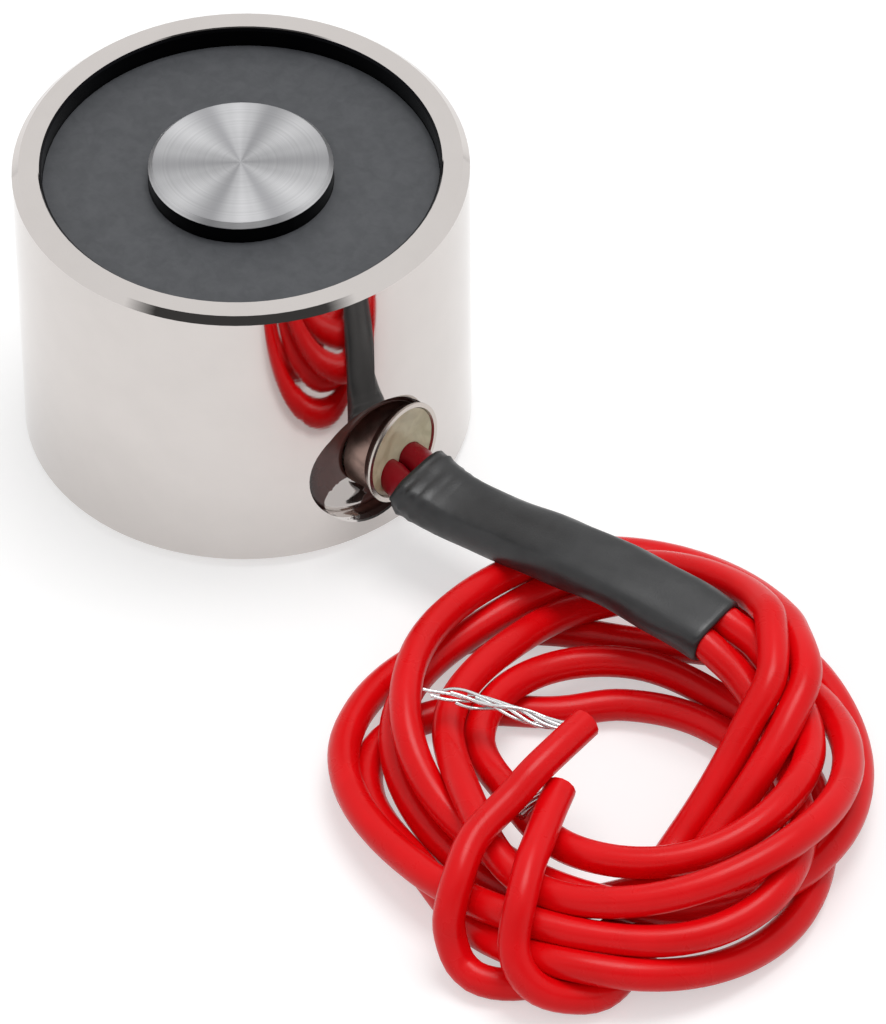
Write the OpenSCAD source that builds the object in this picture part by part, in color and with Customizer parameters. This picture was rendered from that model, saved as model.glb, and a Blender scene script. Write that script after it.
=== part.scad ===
// Holding electromagnet: a plated steel pot with a round core, a potted coil and two leads.
// The origin is the middle of the back face. +Z runs along the axis to the working face,
// and +X runs out through the middle of the lead exit. All lengths are in millimetres.

/* [Pot] */
// Outer diameter of the pot
pot_d = 20; // [18:0.5:26]
// Height of the pot, back face to rim
pot_h = 15; // [14:0.5:22]
// Thickness of the pot's side wall
pot_wall = 1.3; // [1:0.1:1.8]
// Thickness of the pot's base
base_t = 3.6; // [3.2:0.1:4]
// Chamfer round the outside of the rim
rim_chamfer = 0.3; // [0.1:0.05:0.5]
// Chamfer round the inside of the rim
groove_chamfer = 0.15; // [0.05:0.05:0.3]
// Chamfer round the foot of the pot
foot_chamfer = 0.5; // [0.2:0.1:0.8]

/* [Core] */
// Diameter of the core at the working face, as a share of the pot's
core_share = 0.405; // [0.38:0.005:0.43]
// Diameter of the core's spigot in the base
spigot_d = 6; // [5:0.1:6.5]
// Chamfer round the core's face
face_chamfer = 0.2; // [0.1:0.05:0.4]
// Tapping diameter of the back thread
thread_d = 2.5; // [2:0.1:3.3]
// Length of the back thread
thread_l = 6; // [4:0.5:9]

/* [Coil] */
// Wall of the bobbin's tube and flanges
bobbin_wall = 0.5; // [0.4:0.05:0.8]
// Radial room between the taped coil and the pot's bore, for the splices and the resin
splice_room = 1.6; // [1.6:0.05:2]
// Thickness of the tape round the winding
tape_t = 0.15; // [0.1:0.05:0.3]
// Diameter of the winding's own wire
wire_d = 0.25; // [0.15:0.05:0.35]
// Depth of the resin's face below the rim
resin_recess = 1; // [0.5:0.1:1.5]
// Thickness of the resin over the bobbin
resin_t = 1.1; // [0.8:0.1:2]
// Gap round the edge of the bobbin's upper flange, where the resin runs down
flange_gap = 0.5; // [0.3:0.1:0.8]

/* [Lead exit] */
// Diameter of the exit hole in the wall
exit_d = 6.4; // [6:0.1:7]
// Height of the exit hole's middle over the back face
exit_z = 4.7; // [4.4:0.1:5.2]
// Depth of the exit hole, measured in from the outside of the wall
exit_depth = 3.4; // [3:0.1:4]
// Chamfer round the mouth of the exit hole
exit_chamfer = 0.25; // [0.1:0.05:0.4]
// Outer diameter of the exit bush
bush_d = 4.2; // [4:0.1:4.6]
// Wall of the exit bush
bush_wall = 0.2; // [0.15:0.05:0.3]
// Width that the bush's lip stands out beyond its barrel
lip_w = 0.25; // [0.1:0.05:0.4]
// Length that the bush stands out of the wall
bush_out = 0.65; // [0.4:0.05:1]
// Length of the bush inside the wall
bush_in = 1; // [0.8:0.05:1.3]
// Sideways place of the bush in the exit hole
bush_side = 0.85; // [0.5:0.05:0.9]
// Height of the bush over the middle of the exit hole
bush_rise = 0.35; // [0:0.05:0.4]
// Turn of the bush away from the exit hole's axis
bush_turn = 16; // [5:1:18]
// Upward tilt of the bush
bush_lift = 4; // [0:1:6]

/* [Leads] */
// Outer diameter of one lead
lead_d = 1.4; // [1.2:0.05:1.5]
// Wall of the shrunk sleeve
sleeve_wall = 0.2; // [0.15:0.05:0.3]
// Diameter of one strand of the leads' conductor
strand_d = 0.16; // [0.12:0.01:0.2]
// Diameter of a soldered splice
splice_d = 0.8; // [0.6:0.05:0.9]
// Length of a soldered splice
splice_l = 1.5; // [1:0.1:1.6]
// Wall of the tube over a splice
splice_tube_wall = 0.12; // [0.08:0.02:0.16]

/* [Coiled leads] */
// Distance from the pot's wall to the middle of the coiled leads
coil_away = 18.4; // [16:0.1:30]
// Sideways place of the coiled leads
coil_side = -0.9; // [-3:0.1:3]
// Outer diameter of the coiled leads
coil_d = 22.4; // [20:0.1:24]
// Width of the coiled bundle
coil_w = 5.6; // [4:0.1:6]
// Height of the coiled bundle
coil_h = 3.8; // [3:0.1:3.8]
// Rounding of the coiled bundle's edges
coil_round = 1.8; // [1:0.1:1.8]

/* [Hidden] */
$fn = 96;
// Clearance between fixed pieces that are pressed or potted together
fit = 0.02;
// Clearance of the bobbin on the core and of the bush in its pocket
slip = 0.1;
// Overshoot that keeps a cut clear of the face it starts from
over = 1;

pot_r = pot_d / 2;
bore_r = pot_r - pot_wall;
core_r = core_share * pot_r;
lead_r = lead_d / 2;
bush_r = bush_d / 2;
exit_r = exit_d / 2;

tube_r0 = core_r + slip;
tube_r1 = tube_r0 + bobbin_wall;
flange_z = base_t + bobbin_wall;
resin_z = pot_h - resin_recess;
bobbin_z = resin_z - resin_t;
tape_r1 = bore_r - splice_room;
tape_r0 = tape_r1 - tape_t;
winding_r0 = tube_r1 + fit;
winding_r1 = tape_r0 - fit;
winding_z0 = flange_z + fit;
winding_z1 = bobbin_z - bobbin_wall - fit;
low_flange_r = bore_r - slip;
top_flange_r = bore_r - flange_gap;

// The bush's own frame stands on the outside of the wall: x along its axis, z up.
bush_base = [pot_r, bush_side, exit_z + bush_rise];
bush_x = [cos(bush_lift) * cos(bush_turn), cos(bush_lift) * sin(bush_turn), sin(bush_lift)];
bush_y = [-sin(bush_turn), cos(bush_turn), 0];
bush_z = cross(bush_x, bush_y);

// The leads lie side by side on the bottom of the bush.
lead_gap = 0.04;
lead_side = lead_r + lead_gap / 2;
lead_room = bush_r - bush_wall - lead_r - fit;
lead_drop = sqrt(lead_room * lead_room - lead_side * lead_side) - fit;
lead_in = bush_in + slip;
splice_x0 = -lead_in - fit - splice_l;
strip_gap = 0.1;

// Middle line of the two leads from the wall to the coil: [away from the wall, sideways, height]
pair_route = [
    [1.6, 1.0, 4.2], [4.2, 1.7, 4.0], [6.8, 2.5, 4.3], [9.6, 3.2, 4.9], [12.4, 4.2, 5.1],
    [15.2, 5.0, 5.1], [17.4, 5.6, 5.0], [19.0, 5.7, 4.8], [20.6, 5.2, 4.6]
];
// Number of the route's point where the sleeve ends
sleeve_last = 6;
// Roll of the pair of leads where the sleeve ends
sleeve_roll = 10;

// Free ends of the leads, from the middle of the coil: out of the bundle, round and over its top
tail_a_route = [
    [7.65, -8.95, 0.8], [6.8, -10.4, 0.75], [6.1, -11.2, 0.85], [5.2, -11.5, 1.1],
    [4.5, -11.5, 2.0], [4.1, -11.3, 3.05], [3.4, -10.3, 4.2], [2.4, -8.75, 4.75],
    [1.9, -6.5, 5.3], [1.6, -5.1, 5.75], [1.2, -3.5, 5.9], [0.7, -1.75, 5.9]
];
tail_b_route = [
    [10.3, -5.9, 0.75], [9.8, -7.6, 0.75], [9.2, -9.0, 1.0], [8.45, -10.0, 1.6],
    [7.6, -10.3, 2.4], [6.8, -9.9, 3.2], [6.05, -9.0, 4.2], [4.95, -7.75, 4.6],
    [4.2, -6.8, 4.65], [3.0, -5.25, 4.7], [2.25, -4.2, 4.75]
];
// Stripped ends, each folded back from the end of its lead
strands_a_route = [
    [0.7, -1.75, 5.9], [0.5, -1.15, 5.85], [-0.1, -1.0, 5.75], [-0.6, -1.65, 5.6],
    [-1.4, -2.6, 5.5], [-2.6, -3.75, 5.4], [-4.0, -4.75, 5.3], [-5.3, -5.65, 5.25]
];
strands_b_route = [
    [2.25, -4.2, 4.75], [1.9, -3.5, 4.75], [1.4, -3.2, 4.45],
    [1.2, -3.8, 4.2], [1.25, -4.8, 4.2], [1.3, -5.8, 4.2]
];
// Turn of the strands about each other from one ring of points to the next
strand_turn = 24;

// Vectors and smooth routes

function unit(v) = v / norm(v);

// A point given in the bush's own frame
function from_bush(p) = bush_base + p.x * bush_x + p.y * bush_y + p.z * bush_z;

// Points given from the wall, or from the middle of the coil
function from_wall(p) = [pot_r + p.x, p.y, p.z];
function from_coil(p) = [pot_r + coil_away + p.x, coil_side + p.y, p.z];

// One step of a smooth curve through b and c, with a and d as its neighbours
function spline_point(a, b, c, d, t) =
    0.5 * (2 * b + (c - a) * t + (2 * a - 5 * b + 4 * c - d) * t * t + (3 * b - a - 3 * c + d) * t * t * t);

// A smooth curve through every point of p, with a number of steps from each point to the next
function smooth(p, steps) = let (last = len(p) - 1) [
    for (i = [0 : last - 1]) for (k = [0 : steps - 1])
        spline_point(p[max(i - 1, 0)], p[i], p[i + 1], p[min(i + 2, last)], k / steps),
    p[last]
];

function tangents(p) = let (last = len(p) - 1)
    [for (i = [0 : last]) unit(p[min(i + 1, last)] - p[max(i - 1, 0)])];

function square_to(v, t) = unit(v - (v * t) * t);

// Side vectors that turn as little as they can along a route
function carried(t, v) = [
    for (i = 0, n = square_to(v, t[0]); i < len(t); i = i + 1, n = i < len(t) ? square_to(n, t[i]) : n) n
];

// A ring of points round c: outline points q in the plane of the vectors n and b
function ring(c, n, b, outline) = [for (q = outline) c + q.x * n + q.y * b];

function round_outline(r, sides) = [
    for (k = [0 : sides - 1]) let (a = 360 * k / sides) r * [cos(a), sin(a)]
];

// Two half circles of radius r, with their centres w to either side
function oval_outline(r, w, sides) = [
    for (k = [0 : sides - 1]) let (a = 360 * (k + 0.5) / sides)
        [r * cos(a) + (cos(a) > 0 ? w : -w), r * sin(a)]
];

// Faces between rings of m points, from ring i to ring j
function band(i, j, m) = [
    for (k = [0 : m - 1]) let (next = (k + 1) % m) [i * m + k, i * m + next, j * m + next, j * m + k]
];
function flat_end(i, m) = [for (k = [0 : m - 1]) i * m + k];
function turned(face) = [for (k = [len(face) - 1 : -1 : 0]) face[k]];

// A solid swept through rings of m points
module swept(rings) {
    m = len(rings[0]);
    last = len(rings) - 1;
    sides = [for (i = [0 : last - 1]) each band(i, i + 1, m)];
    polyhedron(
        points = [for (r = rings) each r],
        faces = [for (f = sides) turned(f), flat_end(0, m), turned(flat_end(last, m))],
        convexity = 6
    );
}

// A tube with a wall, swept through outer rings and the inner rings that match them
module swept_shell(outer, inner) {
    m = len(outer[0]);
    n = len(outer);
    out_sides = [for (i = [0 : n - 2]) each band(i, i + 1, m)];
    in_sides = [for (i = [0 : n - 2]) each band(n + i, n + i + 1, m)];
    first_end = band(0, n, m);
    last_end = band(n - 1, 2 * n - 1, m);
    polyhedron(
        points = [for (r = concat(outer, inner)) each r],
        faces = [
            for (f = out_sides) turned(f), each in_sides, each first_end, for (f = last_end) turned(f)
        ],
        convexity = 6
    );
}

// A round cord along a route
module cord(p, d, sides) {
    t = tangents(p);
    n = carried(t, [0, 0, 1]);
    outline = round_outline(d / 2, sides);
    swept([for (i = [0 : len(p) - 1]) ring(p[i], n[i], cross(t[i], n[i]), outline)]);
}

// A straight round rod from p to q
module rod(p, q, d) {
    v = q - p;
    translate(p)
        rotate([0, acos(v.z / norm(v)), atan2(v.y, v.x)])
            cylinder(d = d, h = norm(v));
}

// The middle line of the pair of leads, and the way from it to lead a

pair_points = concat(
    [from_bush([-lead_in, 0, -lead_drop]), from_bush([bush_out, 0, -lead_drop])],
    [for (p = pair_route) from_wall(p)]
);
pair_steps = 2;
pair_line = smooth(pair_points, pair_steps);
pair_t = tangents(pair_line);
// The sleeve runs from the route's first point outside the bush to its last one.
bush_points = len(pair_points) - len(pair_route);
sleeve_i0 = bush_points * pair_steps;
sleeve_i1 = (sleeve_last + bush_points) * pair_steps;
function pair_roll(i) = sleeve_roll * min(1, max(0, (i - sleeve_i0) / (sleeve_i1 - sleeve_i0)));
function pair_side(i) = let (
    flat = square_to(cross([0, 0, 1], pair_t[i]), pair_t[i]),
    up = cross(pair_t[i], flat)
) cos(pair_roll(i)) * flat + sin(pair_roll(i)) * up;
function lead_line(way) = [
    for (i = [0 : len(pair_line) - 1]) pair_line[i] + way * lead_side * pair_side(i)
];

// Shapes placed in the bush's frame

module in_bush() {
    multmatrix([
        [bush_x.x, bush_y.x, bush_z.x, bush_base.x],
        [bush_x.y, bush_y.y, bush_z.y, bush_base.y],
        [bush_x.z, bush_y.z, bush_z.z, bush_base.z],
        [0, 0, 0, 1]
    ]) children();
}

// A revolved profile of [radius, place along the axis] points about the bush's axis
module bush_turned(profile) {
    in_bush() rotate([0, 90, 0]) rotate_extrude() polygon(profile);
}

// The round pocket that the bush and the splices have in the bobbin and the resin
module exit_pocket() {
    in_bush() rotate([0, 90, 0])
        translate([0, 0, splice_x0 - slip])
            cylinder(r = bush_r + slip, h = bush_out + over - splice_x0 + slip);
}

// Pot, core and coil

module pot() {
    color("gainsboro") difference() {
        rotate_extrude() polygon([
            [spigot_d / 2, 0], [pot_r - foot_chamfer, 0], [pot_r, foot_chamfer],
            [pot_r, pot_h - rim_chamfer], [pot_r - rim_chamfer, pot_h],
            [bore_r + groove_chamfer, pot_h], [bore_r, pot_h - groove_chamfer],
            [bore_r, base_t], [spigot_d / 2, base_t]
        ]);
        translate([pot_r - exit_depth, 0, exit_z]) rotate([0, 90, 0])
            cylinder(r = exit_r, h = exit_depth + over);
        translate([pot_r - exit_chamfer, 0, exit_z]) rotate([0, 90, 0])
            cylinder(r1 = exit_r, r2 = exit_r + exit_chamfer + over, h = exit_chamfer + over);
    }
}

module core() {
    spigot_r = spigot_d / 2 - fit;
    thread_r = thread_d / 2;
    tip = thread_r / 2;
    color("silver") rotate_extrude() polygon([
        [thread_r, 0], [spigot_r, 0], [spigot_r, base_t], [core_r, base_t],
        [core_r, pot_h - face_chamfer], [core_r - face_chamfer, pot_h], [0, pot_h],
        [0, thread_l + tip], [thread_r, thread_l]
    ]);
}

module bobbin() {
    color("darkslategray") difference() {
        rotate_extrude() polygon([
            [tube_r0, base_t], [low_flange_r, base_t], [low_flange_r, flange_z], [tube_r1, flange_z],
            [tube_r1, bobbin_z - bobbin_wall], [top_flange_r, bobbin_z - bobbin_wall],
            [top_flange_r, bobbin_z], [tube_r0, bobbin_z]
        ]);
        exit_pocket();
        start_slot();
        finish_channel();
    }
}

// Slot in the lower flange for the start of the winding
module start_slot() {
    slot_w = wire_d + 2 * slip;
    translate([tube_r1, start_y - slot_w / 2, base_t - over])
        cube([bore_r - tube_r1, slot_w, bobbin_wall + 2 * over]);
}

module winding() {
    color("peru") rotate_extrude() polygon([
        [winding_r0, winding_z0], [winding_r1, winding_z0],
        [winding_r1, winding_z1], [winding_r0, winding_z1]
    ]);
}

module winding_tape() {
    window_w = 2 * (lead_side + splice_d);
    window_z = finish_end.z + wire_d + slip;
    color("goldenrod") difference() {
        rotate_extrude() polygon([
            [tape_r0, winding_z0], [tape_r1, winding_z0], [tape_r1, winding_z1], [tape_r0, winding_z1]
        ]);
        translate([0, finish_end.y - window_w / 2, winding_z0 - over])
            cube([tape_r1 + over, window_w, window_z - winding_z0 + over]);
    }
}

module potting_resin() {
    color("dimgray") difference() {
        rotate_extrude() polygon([
            [core_r + fit, resin_z], [bore_r - fit, resin_z], [bore_r - fit, flange_z + fit],
            [tape_r1 + fit, flange_z + fit], [tape_r1 + fit, bobbin_z - bobbin_wall - fit],
            [top_flange_r + fit, bobbin_z - bobbin_wall - fit], [top_flange_r + fit, bobbin_z + fit],
            [core_r + fit, bobbin_z + fit]
        ]);
        exit_pocket();
        finish_channel();
    }
}

// Winding ends and splices

// Where each splice ends towards the winding
splice_end_a = from_bush([splice_x0, lead_side, -lead_drop]);
splice_end_b = from_bush([splice_x0, -lead_side, -lead_drop]);
start_y = splice_end_a.y;
start_end = [sqrt(pow(winding_r0 + wire_d, 2) - start_y * start_y), start_y, base_t + bobbin_wall / 2];
finish_end = [
    sqrt(pow(winding_r1 + fit, 2) - splice_end_b.y * splice_end_b.y),
    splice_end_b.y,
    flange_z + 2 * wire_d
];

module start_wire() {
    color("sienna") rod(splice_end_a - [fit, 0, 0], start_end, wire_d);
}

module finish_wire() {
    color("sienna") rod(splice_end_b - [fit, 0, 0], finish_end, wire_d);
}

// Room for the winding's finish in the bobbin and the resin
module finish_channel() {
    rod(splice_end_b, finish_end, wire_d + 2 * fit);
}

module splice(way) {
    taper = splice_d / 4;
    r = splice_d / 2;
    color("lightsteelblue") in_bush()
        translate([splice_x0, way * lead_side, -lead_drop]) rotate([0, 90, 0]) rotate_extrude()
            polygon([
                [0, 0], [r - taper, 0], [r, 2 * taper],
                [r, splice_l - taper], [r - taper, splice_l], [0, splice_l]
            ]);
}

module splice_tube(way) {
    r = splice_d / 2 + fit;
    color("ivory") in_bush()
        translate([splice_x0 + strip_gap, way * lead_side, -lead_drop]) rotate([0, 90, 0]) difference() {
            cylinder(r = r + splice_tube_wall, h = splice_l - 2 * strip_gap);
            translate([0, 0, -over]) cylinder(r = r, h = splice_l + 2 * over);
        }
}

module splice_a() {
    splice(1);
}

module splice_b() {
    splice(-1);
}

module splice_tube_a() {
    splice_tube(1);
}

module splice_tube_b() {
    splice_tube(-1);
}

// Bush, sealant and sleeve

// The flare of the lip begins this far behind the mouth of the bush.
lip_l = 2 * lip_w;
module exit_bush() {
    inner = bush_r - bush_wall;
    color("lightgray") bush_turned([
        [inner, -bush_in], [bush_r, -bush_in], [bush_r, bush_out - lip_l],
        [bush_r + lip_w, bush_out - bush_wall / 2], [bush_r + lip_w, bush_out],
        [inner + lip_w, bush_out], [inner, bush_out - lip_l]
    ]);
}

// The sealant fills the bush and climbs to the lip in a hollow curve.
module exit_sealant() {
    inner = bush_r - bush_wall - fit;
    sag = 0.3;
    edge = bush_out - bush_wall / 2;
    edge_r = inner + lip_w * (1 - bush_wall / 2 / lip_l);
    steps = 6;
    curve = [
        for (k = [0 : steps])
            [edge_r * (1 - k / steps), edge - sag * sin(90 * k / steps)]
    ];
    color("antiquewhite") difference() {
        bush_turned(concat([[0, -bush_in], [inner, -bush_in], [inner, bush_out - lip_l]], curve));
        for (way = [-1, 1])
            in_bush() translate([-bush_in - over, way * lead_side, -lead_drop]) rotate([0, 90, 0])
                cylinder(r = lead_r + fit / 2, h = bush_in + bush_out + 2 * over);
    }
}

// The shrunk sleeve: an oval shell round the pair, gathered a little where it starts
module heat_shrink_sleeve() {
    sides = 20;
    room = lead_r + fit;
    flat_w = lead_side;
    gather = 0.12;
    n = sleeve_i1 - sleeve_i0;
    function swell(i) = gather * pow(1 - (i - sleeve_i0) / n, 4);
    function sleeve_ring(i, r) = let (side = pair_side(i))
        ring(pair_line[i], side, cross(pair_t[i], side), oval_outline(r, flat_w, sides));
    color("darkslategray") swept_shell(
        [for (i = [sleeve_i0 : sleeve_i1]) sleeve_ring(i, room + sleeve_wall + swell(i))],
        [for (i = [sleeve_i0 : sleeve_i1]) sleeve_ring(i, room)]
    );
}

// Leads

cord_sides = 8;
module lead_a() {
    color("red") cord(lead_line(1), lead_d, cord_sides);
}

module lead_b() {
    color("red") cord(lead_line(-1), lead_d, cord_sides);
}

// The outer shape of the coiled leads
module lead_coil() {
    across = coil_w - 2 * coil_round;
    tall = coil_h - 2 * coil_round;
    color("crimson") translate(from_coil([0, 0, 0])) rotate_extrude()
        translate([coil_d / 2 - coil_w, 0]) {
            translate([coil_round, 0]) square([across, coil_h]);
            translate([0, coil_round]) square([coil_w, tall]);
            for (x = [coil_round, coil_w - coil_round], y = [coil_round, coil_h - coil_round])
                translate([x, y]) circle(coil_round);
        }
}

module lead_a_tail() {
    color("red") cord([for (p = tail_a_route) from_coil(p)], lead_d, cord_sides);
}

module lead_b_tail() {
    color("red") cord([for (p = tail_b_route) from_coil(p)], lead_d, cord_sides);
}

// One strand in the middle and a layer of strands twisted round it
module strands(route) {
    layer_n = 6;
    layer_r = 1.2 * strand_d;
    steps = 3;
    strand_sides = 5;
    line = smooth([for (p = route) from_coil(p)], steps);
    t = tangents(line);
    n = carried(t, [0, 0, 1]);
    cord(line, strand_d, strand_sides);
    for (k = [0 : layer_n - 1])
        cord([
            for (i = [0 : len(line) - 1]) let (a = 360 * k / layer_n + strand_turn * i)
                line[i] + layer_r * (cos(a) * n[i] + sin(a) * cross(t[i], n[i]))
        ], strand_d, strand_sides);
}

module lead_a_strands() {
    color("white") strands(strands_a_route);
}

module lead_b_strands() {
    color("white") strands(strands_b_route);
}

pot();
core();
bobbin();
winding();
winding_tape();
potting_resin();
start_wire();
finish_wire();
splice_a();
splice_b();
splice_tube_a();
splice_tube_b();
exit_bush();
exit_sealant();
heat_shrink_sleeve();
lead_a();
lead_b();
lead_coil();
lead_a_tail();
lead_b_tail();
lead_a_strands();
lead_b_strands();
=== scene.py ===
"""Looks of a small holding electromagnet: plated pot, turned core, potted coil and two coiled red leads.

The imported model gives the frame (metres, +Z towards the working face, +X along the exit hole). This script
dresses its nodes, replaces the soft ones, which are the leads, their stripped ends and the shrunk sleeve, and
adds the shallow floor of the exit hole.
"""
import logging
import math
from dataclasses import dataclass
from enum import Enum

import bpy
import numpy as np
from mathutils import Matrix, Vector


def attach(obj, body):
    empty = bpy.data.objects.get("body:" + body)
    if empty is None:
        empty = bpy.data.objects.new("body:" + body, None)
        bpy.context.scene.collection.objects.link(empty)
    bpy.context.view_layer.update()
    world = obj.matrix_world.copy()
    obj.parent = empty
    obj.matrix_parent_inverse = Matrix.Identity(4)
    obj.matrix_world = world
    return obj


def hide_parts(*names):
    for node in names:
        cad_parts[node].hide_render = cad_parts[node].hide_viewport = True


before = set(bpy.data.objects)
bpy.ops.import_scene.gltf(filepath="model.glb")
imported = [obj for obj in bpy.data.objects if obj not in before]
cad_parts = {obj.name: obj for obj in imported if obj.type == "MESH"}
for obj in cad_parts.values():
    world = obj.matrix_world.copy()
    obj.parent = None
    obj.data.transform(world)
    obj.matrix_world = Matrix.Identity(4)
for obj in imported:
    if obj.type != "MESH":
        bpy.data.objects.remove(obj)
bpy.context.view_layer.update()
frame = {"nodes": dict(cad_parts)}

LOG = logging.getLogger("electromagnet")
MM = 0.001
BODY = "root"

Colour = tuple[float, float, float]
Point = tuple[float, float, float]
Feed = bpy.types.NodeSocket | float | tuple[float, ...]  # what an input takes: an output or a value

WHITE: Colour = (1.0, 1.0, 1.0)
INNER_BLACK: Colour = (0.006, 0.006, 0.007)
NOISE_SPAN = (0.3, 0.7)  # where most of a noise texture's values lie
QUARTER_TURN = 0.25

# Millimetres, as in all the sizes below
LEAD_D = 1.4
BUSH_BASE: Point = (10.0, 0.85, 5.05)
BUSH_AXIS: Point = (0.959, 0.275, 0.0698)
COIL_MIDDLE: Point = (28.4, -0.9, 0.0)


class Slot(Enum):
    """Material slots of the record."""

    NICKEL = "nickel_plate"
    STEEL = "turned_steel"
    RESIN = "potting_resin"
    NYLON = "bobbin_nylon"
    COPPER = "enamelled_copper"
    TAPE = "coil_tape"
    SOLDER = "solder"
    TUBING = "splice_tubing"
    BUSH = "bush_metal"
    SEALANT = "sealant"
    SLEEVE = "shrink_sleeve"
    INSULATION = "lead_insulation"
    STRANDS = "tinned_strands"


# ---------------------------------------------------------------------------------------------------------
# Shader nodes
# ---------------------------------------------------------------------------------------------------------

class NodeSheet:
    """A node tree with short calls that add nodes and join them."""

    def __init__(self, tree: bpy.types.NodeTree) -> None:
        """Starts on an emptied tree."""
        self.tree = tree
        tree.nodes.clear()

    def put(self, value: Feed, socket: bpy.types.NodeSocket) -> None:
        """Joins an output to an input, or sets a value on it.

        Args:
            value: an output socket, a number, a vector or a colour.
            socket: the input.
        """
        if isinstance(value, bpy.types.NodeSocket):
            self.tree.links.new(value, socket)
        elif socket.type == "RGBA":
            socket.default_value = (*value, 1.0)
        else:
            socket.default_value = value

    def add(self, kind: str, inputs: dict[str | int, Feed] | None = None,
            **settings: str | bpy.types.NodeTree) -> bpy.types.Node:
        """Adds a node.

        Args:
            kind: the node's type, such as "ShaderNodeTexNoise".
            inputs: values or sockets for its inputs, by socket name or number.
            settings: properties of the node itself.

        Returns:
            The new node.
        """
        node = self.tree.nodes.new(kind)
        for name, value in settings.items():
            setattr(node, name, value)
        for name, value in (inputs or {}).items():
            self.put(value, node.inputs[name])
        return node

    def spot(self) -> bpy.types.NodeSocket:
        """The shaded point in the object's own frame, in metres."""
        return self.add("ShaderNodeTexCoord").outputs["Object"]

    def math(self, operation: str, a: Feed, b: Feed = 0.0, c: Feed = 0.0) -> bpy.types.NodeSocket:
        """Adds a Math node.

        Args:
            operation: Blender's name of the operation.
            a: first value or socket.
            b: second value or socket.
            c: third value or socket.

        Returns:
            The result's socket.
        """
        return self.add("ShaderNodeMath", {0: a, 1: b, 2: c}, operation=operation).outputs[0]

    def vector(self, operation: str, a: Feed, b: Feed, result: str = "Vector") -> bpy.types.NodeSocket:
        """Adds a Vector Math node.

        Args:
            operation: Blender's name of the operation.
            a: first vector or socket.
            b: second vector or socket.
            result: which output, Vector or Value.

        Returns:
            The result's socket.
        """
        return self.add("ShaderNodeVectorMath", {0: a, 1: b}, operation=operation).outputs[result]

    def span(self, value: Feed, low: float, high: float, to_low: float = 0.0, to_high: float = 1.0,
             kind: str = "LINEAR") -> bpy.types.NodeSocket:
        """Maps a value from one span to another, held at both ends.

        Args:
            value: the socket to map.
            low: value that becomes to_low.
            high: value that becomes to_high.
            to_low: result at low.
            to_high: result at high.
            kind: LINEAR or SMOOTHSTEP.

        Returns:
            The mapped socket.
        """
        return self.add("ShaderNodeMapRange", {"Value": value, "From Min": low, "From Max": high,
                                               "To Min": to_low, "To Max": to_high},
                        interpolation_type=kind).outputs["Result"]

    def blend(self, share: Feed, first: Feed, second: Feed) -> bpy.types.NodeSocket:
        """Mixes two colours.

        Args:
            share: how much of the second shows, 0 to 1.
            first: colour or socket.
            second: colour or socket.

        Returns:
            The mixed colour's socket.
        """
        return self.add("ShaderNodeMix", {0: share, 6: first, 7: second}, data_type="RGBA").outputs[2]


class GroupName(Enum):
    """Shader groups that more than one finish uses."""

    PLACE = "round place"
    GRAIN = "fine grain"
    SMUDGE = "handling smudge"
    NEAR = "distance from a point"


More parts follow.
